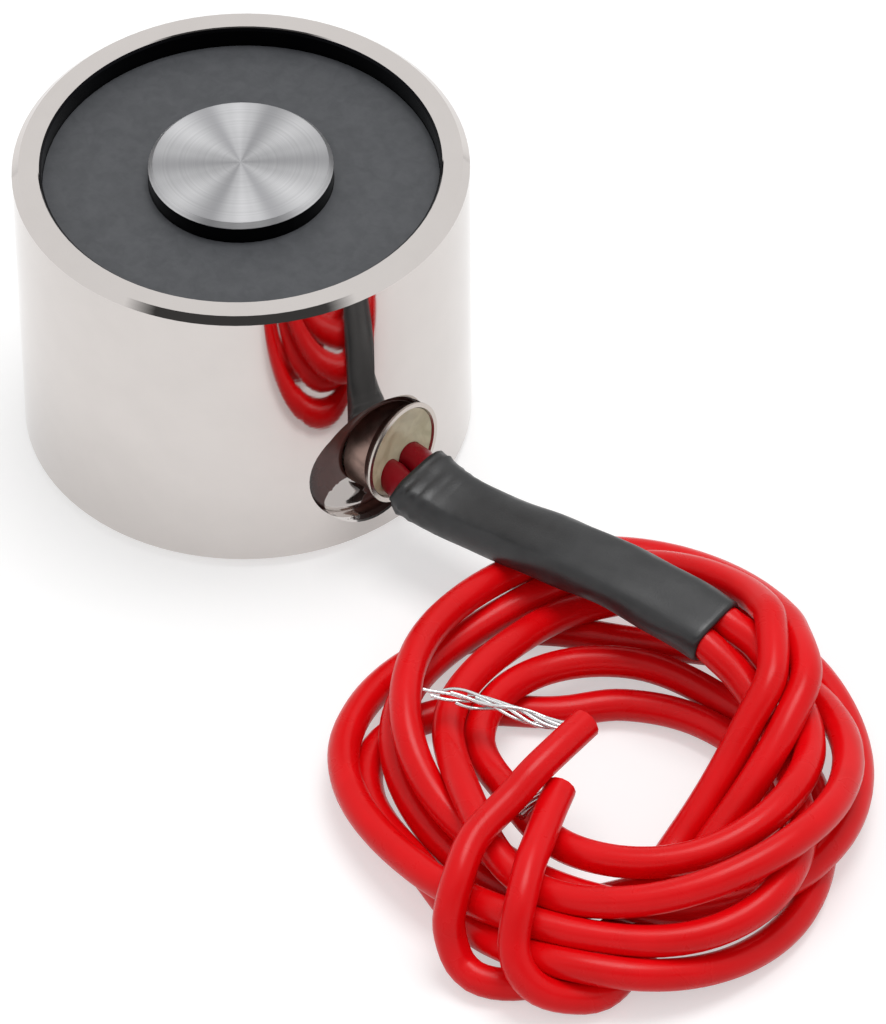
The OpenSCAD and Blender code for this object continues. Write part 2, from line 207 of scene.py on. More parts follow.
class ShaderGroups:
    """Builds each shared group once."""

    def __init__(self) -> None:
        """Builds the four groups."""
        self.trees = {GroupName.PLACE: self._place(), GroupName.GRAIN: self._grain(),
                      GroupName.SMUDGE: self._smudge(), GroupName.NEAR: self._near()}

    @staticmethod
    def _open(name: GroupName, inputs: tuple[str, ...]) -> tuple[NodeSheet, bpy.types.Node | None]:
        """Opens a new group.

        Args:
            name: the group's name.
            inputs: names of its number inputs.

        Returns:
            The sheet and, if there are inputs, their node.
        """
        sheet = NodeSheet(bpy.data.node_groups.new(name.value, "ShaderNodeTree"))
        for key in inputs:
            sheet.tree.interface.new_socket(key, in_out="INPUT", socket_type="NodeSocketFloat")
        return sheet, sheet.add("NodeGroupInput") if inputs else None

    @staticmethod
    def _close(sheet: NodeSheet, **outputs: bpy.types.NodeSocket) -> bpy.types.NodeTree:
        """Adds a group's outputs.

        Args:
            sheet: the group's sheet.
            outputs: what each number output puts out.

        Returns:
            The finished group.
        """
        for key in outputs:
            sheet.tree.interface.new_socket(key, in_out="OUTPUT", socket_type="NodeSocketFloat")
        sheet.add("NodeGroupOutput", outputs)
        return sheet.tree

    def _place(self) -> bpy.types.NodeTree:
        """Radius and height in millimetres about the magnet's axis, and the angle in turns.

        Returns:
            The finished group.
        """
        sheet, _ = self._open(GroupName.PLACE, ())
        x, y, z = sheet.add("ShaderNodeSeparateXYZ", {0: sheet.spot()}).outputs
        squares = sheet.math("ADD", sheet.math("MULTIPLY", x, x), sheet.math("MULTIPLY", y, y))
        return self._close(sheet, Radius=sheet.math("DIVIDE", sheet.math("SQRT", squares), MM),
                           Height=sheet.math("DIVIDE", z, MM),
                           Angle=sheet.math("DIVIDE", sheet.math("ARCTAN2", y, x), math.tau))

    def _grain(self) -> bpy.types.NodeTree:
        """Fine noise of so many grains to a millimetre.

        Returns:
            The finished group.
        """
        sheet, start = self._open(GroupName.GRAIN, ("Per mm",))
        noise = sheet.add("ShaderNodeTexNoise", {
            "Vector": sheet.spot(), "Scale": sheet.math("DIVIDE", start.outputs["Per mm"], MM),
            "Detail": 4.0, "Roughness": 0.55})
        return self._close(sheet, Value=noise.outputs["Fac"])

    def _smudge(self) -> bpy.types.NodeTree:
        """Broad soft patches between a low and a high value, as handling leaves them.

        Returns:
            The finished group.
        """
        sheet, start = self._open(GroupName.SMUDGE, ("Per mm", "Low", "High"))
        noise = sheet.add("ShaderNodeTexNoise", {
            "Vector": sheet.spot(), "Scale": sheet.math("DIVIDE", start.outputs["Per mm"], MM),
            "Detail": 3.0, "Distortion": 0.6})
        soft = sheet.span(noise.outputs["Fac"], *NOISE_SPAN, kind="SMOOTHSTEP")
        reach = sheet.math("SUBTRACT", start.outputs["High"], start.outputs["Low"])
        return self._close(sheet, Value=sheet.math("MULTIPLY_ADD", soft, reach, start.outputs["Low"]))

    def _near(self) -> bpy.types.NodeTree:
        """Distance in millimetres from a point that is given in millimetres.

        Returns:
            The finished group.
        """
        sheet, start = self._open(GroupName.NEAR, ("X", "Y", "Z"))
        point = sheet.add("ShaderNodeCombineXYZ", {key: start.outputs[key] for key in "XYZ"}).outputs[0]
        spot = sheet.vector("DIVIDE", sheet.spot(), (MM, MM, MM))
        return self._close(sheet, Value=sheet.vector("DISTANCE", spot, point, "Value"))


class MaterialSheet(NodeSheet):
    """A material's own sheet, with its Principled shader and short calls for the shared groups."""

    def __init__(self, tree: bpy.types.NodeTree, groups: ShaderGroups) -> None:
        """Starts with the shader joined to the material's output.

        Args:
            tree: the material's node tree.
            groups: the shared shader groups.
        """
        super().__init__(tree)
        self.groups = groups
        self.shader = self.add("ShaderNodeBsdfPrincipled")
        self.add("ShaderNodeOutputMaterial", {"Surface": self.shader.outputs[0]})

    def group(self, name: GroupName, **inputs: float) -> bpy.types.Node:
        """Adds a shared group.

        Args:
            name: which group.
            inputs: values for its inputs, with _ for a space.

        Returns:
            The group's node.
        """
        return self.add("ShaderNodeGroup", {key.replace("_", " "): value for key, value in inputs.items()},
                        node_tree=self.groups.trees[name])

    def grain(self, per_mm: float) -> bpy.types.NodeSocket:
        """Fine noise of so many grains to a millimetre."""
        return self.group(GroupName.GRAIN, Per_mm=per_mm).outputs[0]

    def smudge(self, per_mm: float, low: float = 0.0, high: float = 1.0) -> bpy.types.NodeSocket:
        """Soft patches between two values, so many to a millimetre."""
        return self.group(GroupName.SMUDGE, Per_mm=per_mm, Low=low, High=high).outputs[0]

    def near(self, point: Point) -> bpy.types.NodeSocket:
        """Distance from a point, in millimetres."""
        return self.group(GroupName.NEAR, **dict(zip("XYZ", point))).outputs[0]

    def feed(self, **inputs: Feed) -> None:
        """Sets the shader's inputs.

        Args:
            inputs: values or sockets by the input's name, with _ for a space.
        """
        for key, value in inputs.items():
            self.put(value, self.shader.inputs[key.replace("_", " ")])

    def bump(self, height: bpy.types.NodeSocket, depth: float, strength: float,
             normal: bpy.types.NodeSocket | None = None) -> None:
        """Adds relief to the shader's normal.

        Args:
            height: the relief, 0 to 1.
            depth: what 1 stands for, in millimetres.
            strength: share of the relief that shows.
            normal: the normal that it starts from, where that isn't the surface's own.
        """
        relief = self.add("ShaderNodeBump", {"Height": height, "Distance": depth * MM, "Strength": strength})
        if normal is not None:
            self.put(normal, relief.inputs["Normal"])
        self.feed(Normal=relief.outputs[0])


def shade(colour: Colour, level: float) -> Colour:
    """A colour made lighter or darker."""
    return tuple(c * level for c in colour)


class Finish:
    """A material that is built once, on first use."""

    slot: Slot

    def material(self, groups: ShaderGroups) -> bpy.types.Material:
        """Gives the finish's material.

        Args:
            groups: the shared shader groups.

        Returns:
            The material, new on the first call.
        """
        name = self.slot.value + "_finish"
        if name not in bpy.data.materials:
            made = bpy.data.materials.new(name)
            made.use_nodes = True
            self.paint(MaterialSheet(made.node_tree, groups))
        return bpy.data.materials[name]

    def paint(self, sheet: MaterialSheet) -> None:
        """Fills in the shader's inputs; each finish has its own."""
        raise NotImplementedError


@dataclass(frozen=True)
class NickelPlate(Finish):
    """Bright plating on a turned cup: black inside the cup, varnished brown in the exit hole."""

    slot: Slot = Slot.NICKEL
    colour: Colour = (0.60, 0.565, 0.545)
    paler: float = 1.08
    pale_per_mm: float = 0.5
    smudges: tuple[float, float, float] = (0.25, 0.03, 0.07)
    dulled: float = 0.22
    outer_radius: float = 10.0
    height: float = 15.0
    rim_chamfer: float = 0.3
    foot_chamfer: float = 0.5
    chamfer_edge: float = 0.01
    inner_radius: float = 8.8
    hole_radius: float = 9.93
    hole_heights: tuple[float, float] = (1.2, 8.2)
    hole_brown: Colour = (0.10, 0.042, 0.034)
    hole_patches: tuple[float, float] = (0.6, 1.4)
    hole_per_mm: float = 1.6
    hole_edge: tuple[float, float] = (9.48, 9.66)
    edge_shade: float = 0.3
    bare_at: Point = (9.3, -1.1, 2.6)
    bare_reach: tuple[float, float] = (1.1, 1.18)
    mean_grain: float = 0.5
    lines_per_mm: float = 6.0
    line_depth: float = 0.002
    line_strength: float = 0.2

    def paint(self, sheet: MaterialSheet) -> None:
        """Polished metal with faint turning lines and smudges, and varnish in the hole round one bare spot.

        Args:
            sheet: the material's sheet.
        """
        place = sheet.group(GroupName.PLACE)
        radius, height = place.outputs["Radius"], place.outputs["Height"]
        low, high = self.hole_heights
        hole = sheet.math("MULTIPLY", sheet.math("LESS_THAN", radius, self.hole_radius),
                          sheet.math("COMPARE", height, (low + high) / 2, (high - low) / 2))
        hole = sheet.math("MULTIPLY", hole, self._varnished(sheet))
        bright = sheet.math("SUBTRACT", 1.0, hole)
        # Plain black inside the cup, away from the exit hole
        black_part = sheet.math("MULTIPLY", sheet.math("LESS_THAN", radius, self.inner_radius), bright)
        plate = sheet.blend(sheet.grain(self.pale_per_mm), self.colour, shade(self.colour, self.paler))
        dark, light = (shade(self.hole_brown, level) for level in self.hole_patches)
        brown = sheet.blend(sheet.grain(self.hole_per_mm), dark, light)
        brown = sheet.blend(sheet.span(radius, *self.hole_edge), brown,
                            shade(self.hole_brown, self.edge_shade))
        tint = sheet.blend(black_part, sheet.blend(hole, plate, brown), INNER_BLACK)
        dull = sheet.math("MAXIMUM", black_part, hole)
        sheet.feed(Base_Color=tint, Metallic=bright,
                   Roughness=sheet.math("MULTIPLY_ADD", dull, self.dulled, sheet.smudge(*self.smudges)))
        lines = sheet.add("ShaderNodeTexNoise", {
            "Vector": sheet.add("ShaderNodeCombineXYZ", {"Z": height, "X": radius}).outputs[0],
            "Scale": self.lines_per_mm, "Detail": 2.0}).outputs["Fac"]
        sheet.bump(lines, self.line_depth, self.line_strength, self._true_normal(sheet, place))

    def _varnished(self, sheet: MaterialSheet) -> bpy.types.NodeSocket:
        """Where varnish may lie: all but a ragged bare spot low in the hole.

        Args:
            sheet: the material's sheet.

        Returns:
            The mask's socket.
        """
        ragged = sheet.math("SUBTRACT", sheet.grain(self.hole_per_mm), self.mean_grain)
        return sheet.span(sheet.math("ADD", sheet.near(self.bare_at), ragged), *self.bare_reach)

    def _true_normal(self, sheet: MaterialSheet, place: bpy.types.Node) -> bpy.types.NodeSocket:
        """The cone's own normal on both chamfers, and the surface's elsewhere.

        Args:
            sheet: the material's sheet.
            place: the place group's node.

        Returns:
            The normal's socket.
        """
        height = place.outputs["Height"]
        turn = sheet.math("MULTIPLY", place.outputs["Angle"], math.tau)
        top = sheet.math("GREATER_THAN", height, self.height / 2)
        cone = sheet.add("ShaderNodeCombineXYZ", {
            "X": sheet.math("COSINE", turn), "Y": sheet.math("SINE", turn),
            "Z": sheet.math("MULTIPLY_ADD", top, 2.0, -1.0)}).outputs[0]  # up at the rim, down at the foot
        cone = sheet.add("ShaderNodeVectorMath", {0: cone}, operation="NORMALIZE").outputs[0]
        cone = sheet.add("ShaderNodeVectorTransform", {0: cone}, vector_type="NORMAL", convert_from="OBJECT",
                         convert_to="WORLD").outputs[0]
        rim, foot = (sheet.math("COMPARE", height, middle, chamfer / 2 - self.chamfer_edge)
                     for middle, chamfer in ((self.height - self.rim_chamfer / 2, self.rim_chamfer),
                                             (self.foot_chamfer / 2, self.foot_chamfer)))
        outside = sheet.math("GREATER_THAN", place.outputs["Radius"], self.outer_radius - self.foot_chamfer)
        share = sheet.math("MULTIPLY", sheet.math("MAXIMUM", rim, foot), outside)
        surface = sheet.add("ShaderNodeNewGeometry").outputs["Normal"]
        return sheet.add("ShaderNodeMix", {0: share, 4: surface, 5: cone}, data_type="VECTOR").outputs[1]


@dataclass(frozen=True)
class TurnedSteel(Finish):
    """Face-turned steel: fine rings that spread the light across themselves, and painted highlight and shade
    in sector bands; black below the face.
    """

    slot: Slot = Slot.STEEL
    # Base colours of the painted sheen: dark at its painted shade, bright at its painted highlight; the rings
    # darken from dark too
    dark: Colour = (0.31, 0.31, 0.32)
    bright: Colour = (0.64, 0.64, 0.65)
    roughness: tuple[float, float] = (0.3, 0.38)
    anisotropy: float = 0.55
    face_height: float = 14.78
    rings_per_mm: float = 7.0
    ring_levels: tuple[float, float] = (0.35, 0.65)
    ring_share: float = 0.35
    ring_shade: float = 0.7
    ring_depth: float = 0.004
    ring_strength: float = 0.35
    # Painted sheen: highlight and shade painted into the base colour in sector bands, brightest on the line
    # towards the camera
    sheen_turn: float = -0.093
    sheen_radius: float = 2.6
    sheen_inside: float = 0.35
    painted_sheen_levels: tuple[tuple[float, float], ...] = ((0.0, 0.7), (0.1, 0.5), (0.25, 0.0), (0.55, 0.9), (0.8, 0.5),
                                                (1.0, 0.1))

    def paint(self, sheet: MaterialSheet) -> None:
        """Anisotropic rings about the magnet's axis, with painted highlight and shade: brighter and darker
        sector bands painted into the base colour, widening outwards.

        Args:
            sheet: the material's sheet.
        """
        place = sheet.group(GroupName.PLACE)
        radius = place.outputs["Radius"]
        # Plain black below the face
        black_part = sheet.math("LESS_THAN", place.outputs["Height"], self.face_height)
        ring = sheet.add("ShaderNodeTexNoise", {
            "Vector": sheet.add("ShaderNodeCombineXYZ", {"X": radius}).outputs[0],
            "Scale": self.rings_per_mm, "Detail": 4.0, "Roughness": 0.75}).outputs["Fac"]
        # Painted sheen: painted highlight and shade by sector, weaker near the middle
        sheen = sheet.math("MULTIPLY", self._painted_sheen(sheet, place.outputs["Angle"]),
                           sheet.span(radius, 0.0, self.sheen_radius, self.sheen_inside))
        metal = sheet.blend(sheen, self.dark, self.bright)
        metal = sheet.blend(sheet.span(ring, *self.ring_levels, 0.0, self.ring_share), metal,
                            shade(self.dark, self.ring_shade))
        sheet.feed(Base_Color=sheet.blend(black_part, metal, INNER_BLACK), Metallic=1.0,
                   Anisotropic=self.anisotropy, Anisotropic_Rotation=QUARTER_TURN,
                   Roughness=sheet.span(ring, *NOISE_SPAN, *self.roughness),
                   Tangent=sheet.add("ShaderNodeTangent", direction_type="RADIAL", axis="Z").outputs[0])
        sheet.bump(ring, self.ring_depth, self.ring_strength)

    def _painted_sheen(self, sheet: MaterialSheet, angle: bpy.types.NodeSocket) -> bpy.types.NodeSocket:
        """The painted sheen's brightness: painted highlight and shade, the same in each quarter turn but
        mirrored.

        Args:
            sheet: the material's sheet.
            angle: the angle about the axis, in turns.

        Returns:
            The brightness's socket.
        """
        turned = sheet.math("PINGPONG", sheet.math("SUBTRACT", angle, self.sheen_turn), QUARTER_TURN)
        fan = sheet.add("ShaderNodeValToRGB", {"Fac": sheet.math("DIVIDE", turned, QUARTER_TURN)})
        ramp = fan.color_ramp
        ramp.interpolation = "EASE"
        while len(ramp.elements) < len(self.painted_sheen_levels):
            ramp.elements.new(0.5)  # gets its place below
        for element, (at, level) in zip(ramp.elements, self.painted_sheen_levels):
            element.position = at
            element.color = (level, level, level, 1.0)
        return fan.outputs["Color"]


@dataclass(frozen=True)
class MattePlastic(Finish):
    """A cast or moulded plastic: a colour with patches, a roughness span and a fine grain."""

    slot: Slot
    colour: Colour
    patch: Colour
    roughness: tuple[float, float] = (0.45, 0.6)
    patches_per_mm: float = 0.4
    grains_per_mm: float = 6.0
    relief: float = 0.01
    specular: float = 0.5
    relief_strength: float = 0.5

    def paint(self, sheet: MaterialSheet) -> None:
        """Patchy colour and grained relief.

        Args:
            sheet: the material's sheet.
        """
        sheet.feed(Base_Color=self.tint(sheet), Specular_IOR_Level=self.specular,
                   Roughness=sheet.smudge(2 * self.patches_per_mm, *self.roughness))
        sheet.bump(sheet.grain(self.grains_per_mm), self.relief, self.relief_strength)

    def tint(self, sheet: MaterialSheet) -> bpy.types.NodeSocket:
        """The plastic's patchy colour."""
        return sheet.blend(sheet.smudge(self.patches_per_mm), self.colour, self.patch)


@dataclass(frozen=True)
class LeadPlastic(MattePlastic):
    """Insulation of the leads, darkened where they leave the bush by varnish and by painted shade."""

    # Dark red near the bush: partly varnish, partly painted shade
    varnish_and_painted_shade: Colour = (0.22, 0.001, 0.007)
    varnish_and_painted_shade_at: Point = (11.0, 0.7, 4.3)
    varnish_and_painted_shade_reach: tuple[float, float] = (1.7, 2.4)

    def tint(self, sheet: MaterialSheet) -> bpy.types.NodeSocket:
        """The plastic's patchy colour, with varnish and painted shade darkening it near the bush."""
        # Share of the plain colour, away from the varnish and painted shade
        plain_share = sheet.span(sheet.near(self.varnish_and_painted_shade_at), *self.varnish_and_painted_shade_reach)
        return sheet.blend(plain_share, self.varnish_and_painted_shade, super().tint(sheet))


@dataclass(frozen=True)
class PlainMetal(Finish):
    """Drawn or dipped metal with a fine mottle."""

    slot: Slot
    colour: Colour
    dull: Colour
    roughness: tuple[float, float] = (0.2, 0.35)
    grains_per_mm: float = 5.0
    relief: float = 0.004
    relief_strength: float = 0.4

    def paint(self, sheet: MaterialSheet) -> None:
        """Mottled metal.

        Args:
            sheet: the material's sheet.
        """
        grain = sheet.grain(self.grains_per_mm)
        sheet.feed(Base_Color=sheet.blend(grain, self.colour, self.dull), Metallic=1.0,
                   Roughness=sheet.span(grain, *NOISE_SPAN, *self.roughness))
        sheet.bump(grain, self.relief, self.relief_strength)


@dataclass(frozen=True)
class BushMetal(Finish):
    """Flared bush: a bright lip on a tube that old varnish has turned brown."""

    slot: Slot = Slot.BUSH
    colour: Colour = (0.56, 0.51, 0.47)
    brown: Colour = (0.20, 0.135, 0.115)
    paler: float = 1.7
    patches_per_mm: float = 1.4
    roughness: tuple[float, float] = (0.3, 0.27)
    lip_from: float = 0.43
    lip_edge: float = 0.03
    grains_per_mm: float = 5.0
    relief: float = 0.004
    relief_strength: float = 0.4

    def paint(self, sheet: MaterialSheet) -> None:
        """Bright metal past the lip's start, patchy brown behind it.

        Args:
            sheet: the material's sheet.
        """
        offset = sheet.vector("SUBTRACT", sheet.spot(), tuple(c * MM for c in BUSH_BASE))
        along = sheet.math("DIVIDE", sheet.vector("DOT_PRODUCT", offset, BUSH_AXIS, "Value"), MM)
        lip = sheet.span(along, self.lip_from - self.lip_edge, self.lip_from + self.lip_edge)
        tube = sheet.blend(sheet.smudge(self.patches_per_mm), self.brown, shade(self.brown, self.paler))
        sheet.feed(Base_Color=sheet.blend(lip, tube, self.colour), Metallic=1.0,
                   Roughness=sheet.span(lip, 0.0, 1.0, *self.roughness))
        sheet.bump(sheet.grain(self.grains_per_mm), self.relief, self.relief_strength)


@dataclass(frozen=True)
class Palette:
    """All finishes of the magnet."""

    nickel: NickelPlate = NickelPlate()
    steel: TurnedSteel = TurnedSteel()
    resin: MattePlastic = MattePlastic(
        Slot.RESIN, (0.047, 0.050, 0.056), (0.060, 0.063, 0.070), (0.5, 0.62), 1.2)
    nylon: MattePlastic = MattePlastic(Slot.NYLON, (0.055, 0.045, 0.042), (0.075, 0.058, 0.052))
    tape: MattePlastic = MattePlastic(Slot.TAPE, (0.62, 0.42, 0.10), (0.56, 0.36, 0.07), (0.25, 0.4))
    tubing: MattePlastic = MattePlastic(Slot.TUBING, (0.70, 0.67, 0.58), (0.78, 0.75, 0.66))
    sealant: MattePlastic = MattePlastic(
        Slot.SEALANT, (0.56, 0.53, 0.34), (0.76, 0.74, 0.52), (0.3, 0.5), 0.9)
    sleeve: MattePlastic = MattePlastic(
        Slot.SLEEVE, (0.012, 0.0125, 0.0135), (0.02, 0.0205, 0.0215), (0.33, 0.46), 0.6, 9.0, 0.012)
    insulation: LeadPlastic = LeadPlastic(
        Slot.INSULATION, (0.74, 0.001, 0.003), (0.80, 0.002, 0.005), (0.26, 0.33), 0.35, 5.0, 0.003, 0.22)
    copper: PlainMetal = PlainMetal(Slot.COPPER, (0.72, 0.25, 0.10), (0.55, 0.17, 0.06))
    solder: PlainMetal = PlainMetal(Slot.SOLDER, (0.66, 0.66, 0.67), (0.50, 0.50, 0.52), (0.3, 0.45))
    bush: BushMetal = BushMetal()
    strands: PlainMetal = PlainMetal(Slot.STRANDS, (0.80, 0.80, 0.80), (0.62, 0.62, 0.63), (0.18, 0.3))


# ---------------------------------------------------------------------------------------------------------
# Lines and tubes
# ---------------------------------------------------------------------------------------------------------

def smooth_line(points: np.ndarray, steps: int) -> np.ndarray:
    """Runs a smooth line (Catmull-Rom) through points.

    Args:
        points: the points, one to a row.
        steps: points to make for each span.

    Returns:
        The line's points, ends included.
    """
    last = len(points) - 1
    line = []
    for i in range(last):
        a, b, c, d = (points[k] for k in (max(i - 1, 0), i, i + 1, min(i + 2, last)))
        for t in np.arange(steps) / steps:
            line.append(0.5 * (2 * b + (c - a) * t + (2 * a - 5 * b + 4 * c - d) * t ** 2
                               + (3 * b - a - 3 * c + d) * t ** 3))
    return np.array([*line, points[-1]])


def even_line(points: np.ndarray, pitch: float) -> np.ndarray:
    """Sets points at even distances along a line.

    Args:
        points: the line's points.
        pitch: distance wanted between two of them.

    Returns:
        The evenly set points, ends included.
    """
    along = line_reach(points)
    places = np.linspace(0.0, along[-1], int(round(along[-1] / pitch)) + 1)
    return read_along(points, along, places)


def read_along(values: np.ndarray, along: np.ndarray, places: np.ndarray) -> np.ndarray:
    """Reads rows of values at other places along a line.

    Args:
        values: one row for each point of the line.
        along: the points' distances along it.
        places: the distances to read at.

    Returns:
        One row for each place.
    """
    return np.stack([np.interp(places, along, column) for column in values.T], axis=1)


def line_reach(points: np.ndarray) -> np.ndarray:
    """Distance along the line at each of its points."""
    return np.concatenate([[0.0], np.cumsum(np.linalg.norm(np.diff(points, axis=0), axis=1))])


def unit(rows: np.ndarray) -> np.ndarray:
    """Each row at length 1."""
    return rows / np.linalg.norm(rows, axis=1, keepdims=True)


def line_frame(points: np.ndarray) -> tuple[np.ndarray, np.ndarray, np.ndarray]:
    """Directions at each point of a line.

    Args:
        points: the line's points.

    Returns:
        The unit vectors ahead, level across and over it.
    """
    ahead = unit(np.gradient(points, axis=0))
    across = unit(np.cross((0.0, 0.0, 1.0), ahead))
    return ahead, across, np.cross(ahead, across)


def new_piece(name: str, data: bpy.types.Mesh | bpy.types.Curve, material: bpy.types.Material
              ) -> bpy.types.Object:
    """Puts a mesh or curve into the scene.

    Args:
        name: the piece's name.
        data: its shape.
        material: its finish.

    Returns:
        The new object.
    """
    data.materials.append(material)
    piece = bpy.data.objects.new(name, data)
    bpy.context.collection.objects.link(piece)
    return piece


def curve_piece(name: str, lines: list[np.ndarray], radius: float, resolution: int,
                material: bpy.types.Material) -> bpy.types.Object:
    """Makes round strands as one curve object.

    Args:
        name: the piece's name.
        lines: one line of points in millimetres for each strand.
        radius: strand radius in millimetres.
        resolution: roundness of the strands.
        material: their finish.

    Returns:
        The new object.
    """
    data = bpy.data.curves.new(name, "CURVE")
    data.dimensions = "3D"
    data.bevel_depth = radius * MM
    data.bevel_resolution = resolution
    data.use_fill_caps = True
    for line in lines:
        spline = data.splines.new("POLY")
        spline.points.add(len(line) - 1)
        spline.points.foreach_set("co", np.c_[line * MM, np.ones(len(line))].ravel())
        spline.use_smooth = True
    return new_piece(name, data, material)


def mesh_piece(name: str, points: np.ndarray, faces: list[tuple[int, ...]],
               material: bpy.types.Material) -> bpy.types.Object:
    """Makes a smooth-shaded mesh object.

    Args:
        name: the piece's name.
        points: its points in millimetres.
        faces: its faces, as point numbers.
        material: its finish.

    Returns:
        The new object.
    """
    data = bpy.data.meshes.new(name)
    data.from_pydata((points * MM).tolist(), [], faces)
    data.validate()
    data.shade_smooth()
    return new_piece(name, data, material)


def ring_piece(name: str, rings: np.ndarray, material: bpy.types.Material) -> bpy.types.Object:
    """Makes a closed mesh from rings of points, the last of which meets the first.

    Args:
        name: the piece's name.
        rings: the points in millimetres, by ring and by column.
        material: its finish.

    Returns:
        The new object.
    """
    count, columns = rings.shape[:2]
    number = np.arange(count * columns).reshape(count, columns)
    after = np.roll(number, -1, axis=0)
    faces = np.stack([number, np.roll(number, -1, axis=1), np.roll(after, -1, axis=1), after], axis=2)
    return mesh_piece(name, rings.reshape(-1, 3), faces.reshape(-1, 4).tolist(), material)


# ---------------------------------------------------------------------------------------------------------
# Leads
# ---------------------------------------------------------------------------------------------------------

@dataclass(frozen=True)
class LeadPair:
    """The two leads side by side, from the bush to the end of the sleeve (millimetres)."""

    lead_d: float = LEAD_D
    half_gap: float = 0.72
    pot_r: float = 10.0
    roll: float = 10.0
    bush: tuple[Point, ...] = ((9.007, 0.565, 4.061), (10.685, 1.046, 4.183))
    route: tuple[Point, ...] = (
        (1.6, 1.0, 4.2), (4.2, 1.7, 4.0), (6.8, 2.5, 4.3), (9.6, 3.2, 4.9), (12.4, 4.2, 5.1),
        (15.2, 5.0, 5.1), (17.4, 5.6, 5.0), (19.0, 5.7, 4.8), (20.6, 5.2, 4.6))
    sleeve_spans: tuple[int, int] = (2, 8)
    steps: int = 2

    def sleeved(self) -> tuple[int, int]:
        """Numbers of the middle line's points at the sleeve's two ends."""
        first, last = self.sleeve_spans
        return first * self.steps, last * self.steps

    def middle(self) -> np.ndarray:
        """The pair's middle line, from inside the bush past the sleeve's end."""
        outside = [(self.pot_r + x, y, z) for x, y, z in self.route]
        return smooth_line(np.array([*self.bush, *outside]), self.steps)

    def sides(self) -> np.ndarray:
        """Directions from the middle line towards the first lead.

        Returns:
            A unit vector for each point of the line.
        """
        _, across, over = line_frame(self.middle())
        first, last = self.sleeved()
        share = np.clip((np.arange(len(across)) - first) / (last - first), 0.0, 1.0)
        turn = np.radians(self.roll) * share[:, None]
        return np.cos(turn) * across + np.sin(turn) * over

    def lead(self, hand: int) -> np.ndarray:
        """One lead's line up to the sleeve's end.

        Args:
            hand: 1 for the first lead, -1 for the second.

        Returns:
            Its points.
        """
        return (self.middle() + hand * self.half_gap * self.sides())[:self.sleeved()[1] + 1]


@dataclass(frozen=True)
class Coiled:
    """One lead's coiled stretch and free end, about the coil's middle (millimetres).

    Each turn is given at eight places, clockwise from above: how far out the lead's line is, and how high.
    The run-out leaves the turns and dives under them; the tail folds back over them.
    """

    turns: tuple[tuple[tuple[float, float], ...], ...]
    run_out: tuple[Point, ...]
    tail: tuple[Point, ...]
    middle: Point = COIL_MIDDLE
    first_angle: float = 90.0
    places: int = 8
    turn_steps: int = 6
    free_steps: int = 3

    def line(self) -> np.ndarray:
        """Joins the coiled turns, the run-out and the tail.

        Returns:
            The whole line's points.
        """
        stations = [place for turn in self.turns for place in turn]
        polar = np.array([(math.radians(self.first_angle) - i * math.tau / self.places, out, high)
                          for i, (out, high) in enumerate(stations)])
        angle, out, high = smooth_line(polar, self.turn_steps).T
        turns = np.stack([out * np.cos(angle), out * np.sin(angle), high], axis=1)
        free = smooth_line(np.concatenate([turns[-2:], self.run_out, self.tail]), self.free_steps)
        return np.concatenate([turns, free[self.free_steps + 1:]]) + self.middle


LEAD_A = Coiled(
    turns=(
        ((7.7, 4.8), (8.5, 3.5), (8.5, 3.7), (6.9, 3.5), (5.15, 3.1), (5.6, 2.5), (6.0, 1.8), (6.1, 1.6)),
        ((6.5, 1.2), (9.1, 0.7), (11.6, 0.9), (12.4, 2.0), (9.5, 0.7), (10.4, 0.7), (5.0, 0.75), (4.5, 0.85)),
        ((5.3, 1.1), (7.2, 1.3), (8.0, 2.1), (8.5, 1.3), (8.1, 1.0), (9.3, 2.0), (9.75, 2.1), (10.7, 3.1)),
        ((8.5, 5.5),)),
    run_out=((2.8, 6.6, 5.4), (3.7, 4.9, 4.6), (4.3, 3.0, 3.2), (4.7, 1.3, 2.1), (5.0, -0.5, 1.1),
             (5.7, -2.7, 0.7), (6.4, -4.7, 0.7), (7.0, -6.9, 0.7)),
    tail=((7.3, -8.8, 0.75), (6.9, -10.2, 0.75), (6.1, -11.2, 0.85), (5.2, -11.5, 1.1), (4.5, -11.5, 2.0),
          (4.1, -11.3, 3.05), (3.4, -10.3, 4.2), (2.4, -8.75, 4.75), (1.9, -6.5, 5.3), (1.6, -5.1, 5.75),
          (1.2, -3.5, 5.9), (0.7, -1.75, 5.9)))
LEAD_B = Coiled(
    turns=(
        ((6.0, 4.6), (7.8, 3.1), (11.6, 3.0), (11.7, 2.2), (10.5, 1.9), (11.1, 1.4), (10.4, 0.8), (8.0, 1.1)),
        ((9.0, 2.1), (10.3, 3.4), (10.5, 4.2), (9.5, 3.7), (7.4, 3.6), (7.1, 3.1), (7.5, 2.9), (10.2, 2.4)),
        ((10.2, 2.0), (10.5, 1.4), (9.9, 2.1), (8.6, 2.6), (7.5, 3.2), (8.6, 4.4), (10.15, 3.5), (11.1, 2.9)),
        ((9.4, 4.3),)),
    run_out=((3.1, 8.0, 4.7), (4.5, 6.3, 4.4), (5.4, 4.5, 3.7), (6.0, 2.4, 2.7), (6.3, 0.6, 1.7),
             (7.0, -1.4, 1.0), (8.0, -3.4, 0.75), (9.1, -5.5, 0.75)),
    tail=((9.8, -7.5, 0.75), (9.2, -9.0, 1.0), (8.45, -10.0, 1.6), (7.6, -10.3, 2.4),
          (6.8, -9.9, 3.2), (6.05, -9.0, 4.2), (4.95, -7.75, 4.6), (4.2, -6.8, 4.65), (3.0, -5.25, 4.7),
          (2.25, -4.2, 4.75)))


